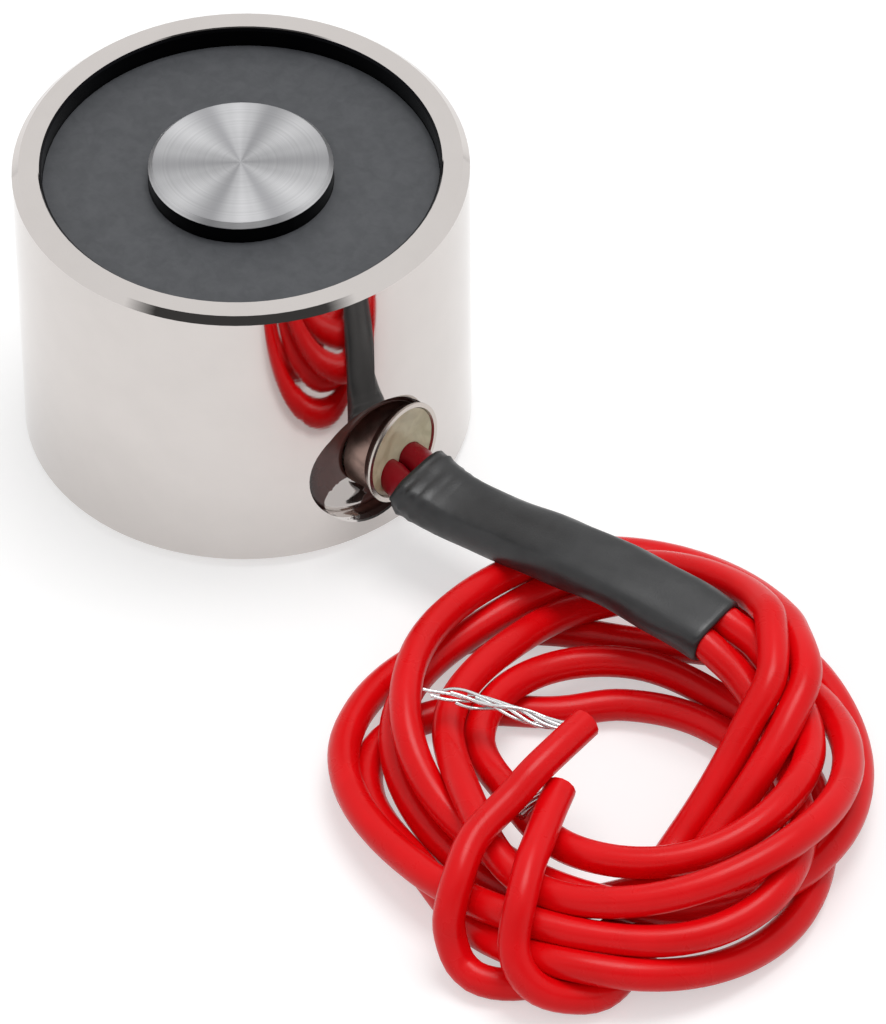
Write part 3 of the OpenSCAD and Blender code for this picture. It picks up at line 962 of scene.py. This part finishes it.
@dataclass(frozen=True)
class Settling:
    """Lets the leads push each other apart and rest on the table, so that none lies inside another."""

    lead_d: float = LEAD_D
    clearance: float = 0.02
    pitch: float = 0.4
    rounds: int = 500
    rounds_per_search: int = 10
    search_reach: float = 1.6
    same_stretch: float = 3.0
    give: float = 0.8
    sag: float = 0.0002
    ease: float = 0.3
    ease_steps: tuple[int, ...] = (1, 2, 4)
    pull: float = 0.003
    least_gap: float = 1e-6

    def settle(self, lines: list[np.ndarray], free: list[tuple[float, float]]) -> list[np.ndarray]:
        """Settles the lines.

        Args:
            lines: each lead's line, from exit to end.
            free: for each lead, the distances along it between which it may move.

        Returns:
            The settled lines, with evenly set points.
        """
        evened = [even_line(line, self.pitch) for line in lines]
        owner = np.concatenate([np.full(len(line), i) for i, line in enumerate(evened)])
        order = np.concatenate([np.arange(len(line)) for line in evened])
        loose = np.concatenate([(line_reach(line) > low) & (line_reach(line) < high)
                                for line, (low, high) in zip(evened, free)]).astype(float)
        start = np.concatenate(evened)
        shift = np.zeros_like(start)
        ends = np.cumsum([0] + [len(line) for line in evened])
        leads = [slice(low, high) for low, high in zip(ends[:-1], ends[1:])]
        touch = self.lead_d + self.clearance
        for turn in range(self.rounds):
            if turn % self.rounds_per_search == 0:
                i, j = self._near(start + shift, owner, order)
            shift += self._push(start + shift, i, j, loose, touch)
            for lead in leads:
                self._ease(shift[lead], loose[lead])
            shift *= 1.0 - self.pull
            shift[:, 2] -= loose * self.sag
            shift[:, 2] = np.where(loose > 0, np.maximum(shift[:, 2], touch / 2 - start[:, 2]), shift[:, 2])
        return [(start + shift)[lead] for lead in leads]

    def _near(self, place: np.ndarray, owner: np.ndarray, order: np.ndarray) -> tuple[np.ndarray, np.ndarray]:
        """Pairs of points that may touch.

        Args:
            place: all points.
            owner: which lead each is on.
            order: its number along that lead.

        Returns:
            The first and second point of each pair.
        """
        gap = place[:, None, :] - place[None, :, :]
        close = np.einsum("ijk,ijk->ij", gap, gap) < (self.search_reach * self.lead_d) ** 2
        beside = (owner[:, None] == owner) & (np.abs(order[:, None] - order) < self.same_stretch / self.pitch)
        return np.nonzero(np.triu(close & ~beside, 1))

    def _push(self, place: np.ndarray, i: np.ndarray, j: np.ndarray, loose: np.ndarray,
              touch: float) -> np.ndarray:
        """Moves that part points which are closer than touching.

        Args:
            place: all points.
            i: first point of each pair.
            j: second point of each pair.
            loose: 1 for a point that may move.
            touch: distance between two touching leads' lines.

        Returns:
            Each point's move.
        """
        gap = place[i] - place[j]
        length = np.maximum(np.linalg.norm(gap, axis=1), self.least_gap)
        share = np.maximum(loose[i] + loose[j], 1.0)
        push = gap / length[:, None] * (np.maximum(touch - length, 0.0) / share)[:, None]
        hit = (length < touch).astype(float)
        move = np.zeros_like(place)
        count = np.zeros(len(place))
        for side, sign in ((i, 1.0), (j, -1.0)):
            np.add.at(move, side, sign * push)
            np.add.at(count, side, hit)
        return self.give * loose[:, None] * move / np.maximum(count, 1.0)[:, None]

    def _ease(self, shift: np.ndarray, loose: np.ndarray) -> None:
        """Spreads one lead's moves along it, over short and longer stretches.

        Each point moves towards the cubic through the two points on either side of it.

        Args:
            shift: the lead's moves, changed in place.
            loose: 1 for a point that may move.
        """
        for k in self.ease_steps:
            eased = np.zeros_like(shift)
            eased[2 * k:-2 * k] = (-shift[:-4 * k] + 4 * shift[k:-3 * k] + 4 * shift[3 * k:-k]
                                   - shift[4 * k:]) / 6 - shift[2 * k:-2 * k]
            shift += self.ease * loose[:, None] * eased


@dataclass
class Leads:
    """Both leads as free cords, from the bush to where their insulation ends."""

    palette: Palette
    groups: ShaderGroups
    pair: LeadPair = LeadPair()
    settling: Settling = Settling()
    roundness: int = 5
    join_steps: int = 2
    held_tail: float = 14.0

    def build(self) -> list[bpy.types.Object]:
        """Builds both leads.

        Returns:
            The two cord pieces.
        """
        lines, free = [], []
        for coiled, hand in ((LEAD_A, 1), (LEAD_B, -1)):
            covered = self.pair.lead(hand)
            line = smooth_line(np.concatenate([covered, coiled.line()]), self.join_steps)
            lines.append(line)
            free.append((line_reach(covered)[-1], line_reach(line)[-1] - self.held_tail))
        finish = self.palette.insulation.material(self.groups)
        pieces = []
        for name, line in zip(("lead_a_cord", "lead_b_cord"), self.settling.settle(lines, free)):
            pieces.append(curve_piece(name, [line], self.pair.lead_d / 2, self.roundness, finish))
            LOG.info("%s: %.1f mm long, %.2f to %.2f mm high", name, line_reach(line)[-1],
                     line[:, 2].min(), line[:, 2].max())
        return pieces

    def declare(self, cords: list[bpy.types.Object], with_pieces: list[list[bpy.types.Object]]) -> None:
        """Attaches each cord to the body and hides the nodes that it stands for.

        Args:
            cords: the two cord pieces.
            with_pieces: what goes with each cord; not used.
        """
        nodes = (("lead_a", "lead_a_tail", "lead_coil"), ("lead_b", "lead_b_tail"))
        for cord, stands_for, others in zip(cords, nodes, with_pieces):
            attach(cord, BODY)
            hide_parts(*stands_for)


@dataclass
class ShrunkSleeve:
    """Black shrunk sleeve over both leads: an oval shell with a waist, wrinkled where it leaves the bush."""

    palette: Palette
    groups: ShaderGroups
    pair: LeadPair = LeadPair()
    room: float = 0.72
    wall: float = 0.2
    rings: int = 90
    columns: int = 56
    spine_steps: int = 8
    flat_share: float = 2.2
    waist: float = 0.05
    waist_width: float = 0.45
    gather: float = 0.10
    wrinkle: float = 0.06
    wrinkle_pitch: float = 0.62
    wrinkled_length: float = 1.5
    wrinkle_lean: tuple[float, float] = (1.3, 0.8)
    fold_sharpness: float = 5.0
    fold_levels: tuple[float, float] = (2.2, 0.6)
    fold_facing: float = 0.4
    ripples: tuple[tuple[float, ...], ...] = ((0.012, 3.0, 1.7, 0.0), (0.014, 2.0, -0.9, 1.0))
    lip_curl: float = 0.06
    lip_length: float = 0.06

    def build(self) -> bpy.types.Object:
        """Builds the sleeve in place of its node.

        Returns:
            The sleeve piece.
        """
        middle, side, over, along = self._spine()
        angle = np.arange(self.columns) * math.tau / self.columns
        shells = []
        for radius, swell in ((self.room + self.wall, self._swell(angle, along[:, None])),
                              (self.room, np.zeros((self.rings, self.columns)))):
            wide, tall = self._oval(angle, radius)
            scale = 1.0 + swell / radius
            shells.append(middle[:, None, :] + (scale * wide)[:, :, None] * side[:, None, :]
                          + (scale * tall)[:, :, None] * over[:, None, :])
        outer, inner = shells
        piece = ring_piece("shrunk_sleeve", np.concatenate([outer, inner[::-1]]),
                           self.palette.sleeve.material(self.groups))
        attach(piece, BODY)
        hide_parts("heat_shrink_sleeve")
        LOG.info("%s: %.1f mm long", piece.name, along[-1])
        return piece

    def _spine(self) -> tuple[np.ndarray, np.ndarray, np.ndarray, np.ndarray]:
        """Sets out the sleeve's rings.

        Returns:
            The middle line, the directions across and over the pair, and the distance along the line.
        """
        first, last = self.pair.sleeved()
        coarse, aside = self.pair.middle()[first:last + 1], self.pair.sides()[first:last + 1]
        reach = line_reach(coarse)
        places = np.linspace(0.0, reach[-1], self.rings)
        fine = even_line(smooth_line(coarse, self.spine_steps), reach[-1] / (self.rings - 1))[:self.rings]
        ahead = line_frame(fine)[0]
        side = read_along(aside, reach, places)
        side = unit(side - np.einsum("ij,ij->i", side, ahead)[:, None] * ahead)
        return fine, side, np.cross(ahead, side), places

    def _oval(self, angle: np.ndarray, radius: float) -> tuple[np.ndarray, np.ndarray]:
        """The cut across the sleeve: an oval with a slight waist between the leads.

        Args:
            angle: each column's direction.
            radius: radius round each lead.

        Returns:
            The columns' places across and over the pair.
        """
        aside = np.cos(angle)
        flat = np.minimum(1.0, np.abs(aside) * self.flat_share)
        wide = aside * radius + np.sign(aside) * self.pair.half_gap * flat
        return wide, np.sin(angle) * (radius - self.waist * np.exp(-(wide / self.waist_width) ** 2))

    def _swell(self, angle: np.ndarray, along: np.ndarray) -> np.ndarray:
        """How far the outside stands out: wrinkles near the bush, slight ripples, and curled-in lips.

        Args:
            angle: each column's direction.
            along: each ring's distance along the sleeve, as a column.

        Returns:
            The swelling, by ring and by column.
        """
        near = np.exp(-(along / self.wrinkled_length) ** 2)
        (sway, lean), (high, low) = self.wrinkle_lean, self.fold_levels
        wave = np.sin(math.tau * along / self.wrinkle_pitch + sway * np.sin(2 * angle) + lean * angle)
        fold = high * np.exp(self.fold_sharpness * (wave - 1.0)) - low
        crease = self.wrinkle * fold * (1.0 + np.sin(angle - self.fold_facing)) / 2
        ripple = sum(height * np.sin(waves * angle + turn * along + phase)
                     for height, waves, turn, phase in self.ripples)
        edge = np.minimum(along, along[-1] - along)
        return near * (self.gather + crease) + ripple - self.lip_curl * np.exp(-(edge / self.lip_length) ** 2)


@dataclass
class ExitRecess:
    """Shallow floor of the exit hole round the bush, with varnish that climbs to the bush and to the wall."""

    palette: Palette
    groups: ShaderGroups
    hole_middle: tuple[float, float] = (0.0, 4.7)
    hole_radius: float = 3.18
    bush_radius: float = 2.13
    floor: float = 9.15
    depth: float = 0.25
    climb: tuple[float, float] = (0.22, 0.12)
    steepness: tuple[float, float] = (6.0, 9.0)
    columns: int = 12
    rings: int = 96

    def build(self) -> bpy.types.Object:
        """Builds the recess's floor as a closed ring.

        Returns:
            The floor piece.
        """
        angles = np.arange(self.rings) * math.tau / self.rings
        piece = ring_piece("exit_recess_floor", np.stack([self._section(angle) for angle in angles]),
                           self.palette.nickel.material(self.groups))
        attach(piece, BODY)
        LOG.info("%s: %.2f mm below the wall", piece.name, BUSH_BASE[0] - self.floor)
        return piece

    def _section(self, angle: float) -> np.ndarray:
        """One cut through the ring, from the bush out to the hole's wall and back behind.

        Args:
            angle: its direction about the bush, from level.

        Returns:
            The cut's points.
        """
        share = np.linspace(0.0, 1.0, self.columns)
        (near, far), (near_steep, far_steep) = self.climb, self.steepness
        front = self.floor + near * np.exp(-share * near_steep) + far * np.exp((share - 1.0) * far_steep)
        share = np.concatenate([share, share[[-1, 0]]])
        place = np.concatenate([front, np.full(2, self.floor - self.depth)])
        base, axis = np.array(BUSH_BASE), np.array(BUSH_AXIS)
        middle = base[1:] + np.outer((place - base[0]) / axis[0], axis[1:])
        way = np.array((math.cos(angle), math.sin(angle)))
        inner = middle + self.bush_radius * way * (1.0 + way * (1.0 / axis[0] - 1.0) * (1.0, 0.0))
        offset = middle - self.hole_middle
        along = offset @ way
        reach = -along + np.sqrt(along ** 2 - np.sum(offset ** 2, axis=1) + self.hole_radius ** 2)
        outer = middle + reach[:, None] * way
        return np.column_stack([place, inner + share[:, None] * (outer - inner)])


class StrandEnd(Enum):
    """How a lead's stripped end is left."""

    FRAYED = "frayed"
    TUCKED = "tucked"


@dataclass
class StrippedEnd:
    """Tinned strands of one lead, loosely twisted together and uneven at their tips."""

    palette: Palette
    groups: ShaderGroups
    name: str
    node: str
    route: tuple[Point, ...]
    finish: StrandEnd
    middle: Point = COIL_MIDDLE
    strand_d: float = 0.16
    roundness: int = 2
    count: int = 7
    steps: int = 8
    pitch: float = 0.1
    lay: float = 6.5
    packing: float = 1.04
    flatness: float = 0.6
    twisted_share: float = 0.22
    spread: float = 0.58
    least_spread: float = 0.25
    own_spread: tuple[float, float] = (2.4, 0.5)
    bow: tuple[float, float] = (0.12, 1.15)
    bow_rise: float = 0.7
    shortening: float = 0.045
    shortening_step: int = 3
    arch: float = 0.42
    arch_from: float = 0.25
    arch_share: float = 0.5

    def build(self) -> bpy.types.Object:
        """Builds the strands in place of their node.

        Returns:
            The strands as one piece.
        """
        spine = even_line(smooth_line(np.array(self.route) + self.middle, self.steps), self.pitch)
        _, across, over = line_frame(spine)
        along = line_reach(spine)
        lines = [self._strand(number, spine, across, over, along) for number in range(self.count)]
        piece = curve_piece(self.name, lines, self.strand_d / 2, self.roundness,
                            self.palette.strands.material(self.groups))
        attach(piece, BODY)
        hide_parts(self.node)
        LOG.info("%s: %d strands, %.1f mm long", piece.name, self.count, along[-1])
        return piece

    def _strand(self, number: int, spine: np.ndarray, across: np.ndarray, over: np.ndarray,
                along: np.ndarray) -> np.ndarray:
        """One strand's line.

        Args:
            number: which strand; the first is the middle one and the second arches away.
            spine: the bunch's line.
            across: level direction across it.
            over: direction over it.
            along: distance along it.

        Returns:
            The strand's points, cut to its own length.
        """
        share = along / along[-1]
        angle = number * math.tau / (self.count - 1) + math.tau * along / self.lay
        out = np.full(len(along), 0.0 if number == 0 else self.strand_d * self.packing)
        lift = np.zeros(len(along))
        reach = 1.0
        if self.finish is StrandEnd.FRAYED:
            loose = np.clip((share - self.twisted_share) / (1.0 - self.twisted_share), 0.0, 1.0)
            (step, first), (shift, bend) = self.own_spread, self.bow
            own = self.least_spread + (1.0 - self.least_spread) * abs(math.sin(step * number + first))
            bowed = np.sin(math.pi * (shift * number + bend * loose)) ** 2
            out = out + self.spread * own * bowed * loose ** self.bow_rise
            reach = 1.0 - self.shortening * (number * self.shortening_step % self.count)
            if number == 1:
                risen = np.clip((share - self.arch_from) / self.arch_share, 0.0, 1.0)
                lift = self.arch * np.sin(math.pi * risen) ** 2
        aside, above = out * np.cos(angle), self.flatness * out * np.sin(angle) + lift
        return (spine + aside[:, None] * across + above[:, None] * over)[share <= reach]


STRANDS_A: tuple[Point, ...] = (
    (0.7, -1.75, 5.9), (0.45, -1.4, 5.65), (0.1, -1.45, 5.25), (-0.25, -2.0, 5.1), (-1.0, -2.6, 5.1),
    (-2.05, -3.2, 5.15), (-3.0, -3.8, 5.2), (-3.9, -4.45, 5.25), (-4.7, -5.2, 5.3), (-5.4, -5.85, 5.3))
STRANDS_B: tuple[Point, ...] = (
    (2.25, -4.2, 4.75), (1.9, -3.95, 4.5), (1.7, -4.1, 4.25), (1.7, -4.7, 4.2), (1.9, -5.5, 4.25),
    (2.2, -6.3, 4.3))


# ---------------------------------------------------------------------------------------------------------
# Studio
# ---------------------------------------------------------------------------------------------------------

@dataclass(frozen=True)
class SoftLamp:
    """A square soft lamp aimed at the magnet (metres, watts)."""

    name: str
    place: Point
    size: float
    power: float
    mirrored: bool

    def build(self) -> None:
        """Hangs the lamp; shiny surfaces show it only if it is mirrored."""
        data = bpy.data.lights.new(self.name, "AREA")
        data.size = self.size
        data.energy = self.power
        lamp = bpy.data.objects.new(self.name, data)
        lamp.location = self.place
        lamp.visible_glossy = self.mirrored
        lamp.rotation_euler = Vector(self.place).to_track_quat("Z", "Y").to_euler()
        bpy.context.collection.objects.link(lamp)


@dataclass(frozen=True)
class Studio:
    """Camera at the photograph's angle, white table and soft light."""

    frame_px: tuple[int, int] = (886, 1024)
    azimuth: float = 56.6
    elevation: float = 44.34
    roll: float = 1.85
    distance: float = 400.0
    px_per_mm: float = 22.331
    origin_px: tuple[float, float] = (248.6, 408.2)
    sensor: float = 24.0
    clip_end: float = 10.0
    lamps: tuple[SoftLamp, ...] = (SoftLamp("key", (-0.02, 0.12, 0.62), 0.3, 1.75, True),
                                   SoftLamp("fill", (0.25, -0.5, 0.40), 0.6, 0.4, False))
    world_light: float = 0.55
    opening: tuple[float, float] = (0.75, 0.22)
    opening_edge: tuple[float, float] = (0.7, 1.3)
    opening_dark: float = 0.94
    table_size: float = 3.0
    table_colour: Colour = (0.62, 0.62, 0.62)
    table_roughness: float = 0.9
    table_glow: float = 0.48

    def camera(self) -> None:
        """Sets the camera so that the magnet's origin falls on its pixel."""
        right, up, back = self._axes()
        place = back * self.distance
        aim = right * (self.frame_px[0] / 2 - self.origin_px[0]) / self.px_per_mm \
            + up * (self.origin_px[1] - self.frame_px[1] / 2) / self.px_per_mm
        back = (place - aim).normalized()
        right = (right - right.dot(back) * back).normalized()
        data = bpy.data.cameras.new("camera")
        data.sensor_fit = "VERTICAL"
        data.sensor_height = self.sensor
        data.lens = self.px_per_mm * self.distance / self.frame_px[1] * self.sensor
        data.clip_end = self.clip_end
        camera = bpy.data.objects.new("camera", data)
        camera.matrix_world = Matrix.Translation(place * MM) @ Matrix(
            (right, back.cross(right), back)).transposed().to_4x4()
        bpy.context.collection.objects.link(camera)
        bpy.context.scene.camera = camera

    def light(self) -> None:
        """Builds the world, the table and the lamps."""
        bpy.context.scene.view_settings.view_transform = "Standard"
        self._world()
        self._table()
        for lamp in self.lamps:
            lamp.build()

    def _axes(self) -> tuple[Vector, Vector, Vector]:
        """Directions of the view.

        Returns:
            The unit vectors to the right, up and towards the viewer.
        """
        turn, tilt, roll = (math.radians(a) for a in (self.azimuth, self.elevation, self.roll))
        right = Vector((math.cos(turn), math.sin(turn), 0.0))
        back = Vector((math.sin(turn) * math.cos(tilt), -math.cos(turn) * math.cos(tilt), math.sin(tilt)))
        up = back.cross(right)
        cos, sin = math.cos(roll), math.sin(roll)
        return cos * right - sin * up, sin * right + cos * up, back

    @staticmethod
    def _seen(sheet: NodeSheet) -> tuple[bpy.types.NodeSocket, bpy.types.NodeSocket]:
        """Tells the rays that show the background from those that only light.

        Args:
            sheet: the sheet of the world or the table.

        Returns:
            The masks of all rays that show it, and of mirrored ones alone.
        """
        path = sheet.add("ShaderNodeLightPath").outputs
        seen = sheet.math("MAXIMUM", path["Is Camera Ray"], path["Is Transmission Ray"])
        return sheet.math("MAXIMUM", seen, path["Is Glossy Ray"]), path["Is Glossy Ray"]

    def _world(self) -> None:
        """White to the eye and in reflections, softer as light, with a dark opening on the camera's side."""
        world = bpy.data.worlds.new("studio")
        world.use_nodes = True
        bpy.context.scene.world = world
        sheet = NodeSheet(world.node_tree)
        seen, mirrored = self._seen(sheet)
        ray = sheet.add("ShaderNodeTexCoord").outputs["Generated"]
        aside, above, ahead = (sheet.vector("DOT_PRODUCT", ray, axis, "Value") for axis in self._axes())
        wide, tall = self.opening
        reach = sheet.math("ADD", sheet.math("POWER", sheet.math("DIVIDE", aside, wide), 2.0),
                           sheet.math("POWER", sheet.math("DIVIDE", above, tall), 2.0))
        dark = sheet.math("MULTIPLY", sheet.span(reach, *self.opening_edge, self.opening_dark, 0.0),
                          sheet.math("GREATER_THAN", ahead, 0.0))
        dark = sheet.math("MULTIPLY", dark, mirrored)
        level = sheet.math("MULTIPLY", sheet.span(seen, 0.0, 1.0, self.world_light),
                           sheet.math("SUBTRACT", 1.0, dark))
        glow = sheet.add("ShaderNodeBackground", {"Color": WHITE, "Strength": level})
        sheet.add("ShaderNodeOutputWorld", {"Surface": glow.outputs[0]})

    def _table(self) -> None:
        """A white table just under the part."""
        half = self.table_size / 2 / MM
        corners = np.array([(-half, -half, 0.0), (half, -half, 0.0), (half, half, 0.0), (-half, half, 0.0)])
        made = bpy.data.materials.new("table")
        made.use_nodes = True
        sheet = NodeSheet(made.node_tree)
        glow = sheet.math("MULTIPLY", self._seen(sheet)[0], self.table_glow)
        shader = sheet.add("ShaderNodeBsdfPrincipled", {
            "Base Color": self.table_colour, "Roughness": self.table_roughness, "Specular IOR Level": 0.0,
            "Emission Color": WHITE, "Emission Strength": glow})
        sheet.add("ShaderNodeOutputMaterial", {"Surface": shader.outputs[0]})
        mesh_piece("table", corners, [(0, 1, 2, 3)], made)


# ---------------------------------------------------------------------------------------------------------
# Rigid parts
# ---------------------------------------------------------------------------------------------------------

@dataclass
class MagnetBody:
    """The frame's rigid nodes with their finishes."""

    palette: Palette
    groups: ShaderGroups

    def dress(self) -> None:
        """Gives each node its finish."""
        p = self.palette
        finishes = {"pot": p.nickel, "core": p.steel, "potting_resin": p.resin, "bobbin": p.nylon,
                    "winding": p.copper, "winding_tape": p.tape, "start_wire": p.copper,
                    "finish_wire": p.copper, "splice_a": p.solder, "splice_b": p.solder,
                    "splice_tube_a": p.tubing, "splice_tube_b": p.tubing, "exit_bush": p.bush,
                    "exit_sealant": p.sealant}
        for name, finish in finishes.items():
            node = frame["nodes"][name]
            node.data.materials.clear()
            node.data.materials.append(finish.material(self.groups))
            LOG.info("%s: %s", name, finish.slot.value)


def main() -> None:
    """Builds the studio, then the magnet's pieces in order."""
    logging.basicConfig(level=logging.INFO, format="%(message)s")
    studio = Studio()
    studio.camera()
    studio.light()
    palette, groups = Palette(), ShaderGroups()
    MagnetBody(palette, groups).dress()
    leads = Leads(palette, groups)
    cords = leads.build()
    ExitRecess(palette, groups).build()
    sleeve = ShrunkSleeve(palette, groups).build()
    end_a = StrippedEnd(palette, groups, "strands_a", "lead_a_strands", STRANDS_A, StrandEnd.FRAYED).build()
    end_b = StrippedEnd(palette, groups, "strands_b", "lead_b_strands", STRANDS_B, StrandEnd.TUCKED).build()
    nodes = frame["nodes"]
    leads.declare(cords, [[nodes["exit_bush"], nodes["exit_sealant"], sleeve, end_a], [end_b]])


if __name__ == "__main__":
    main()
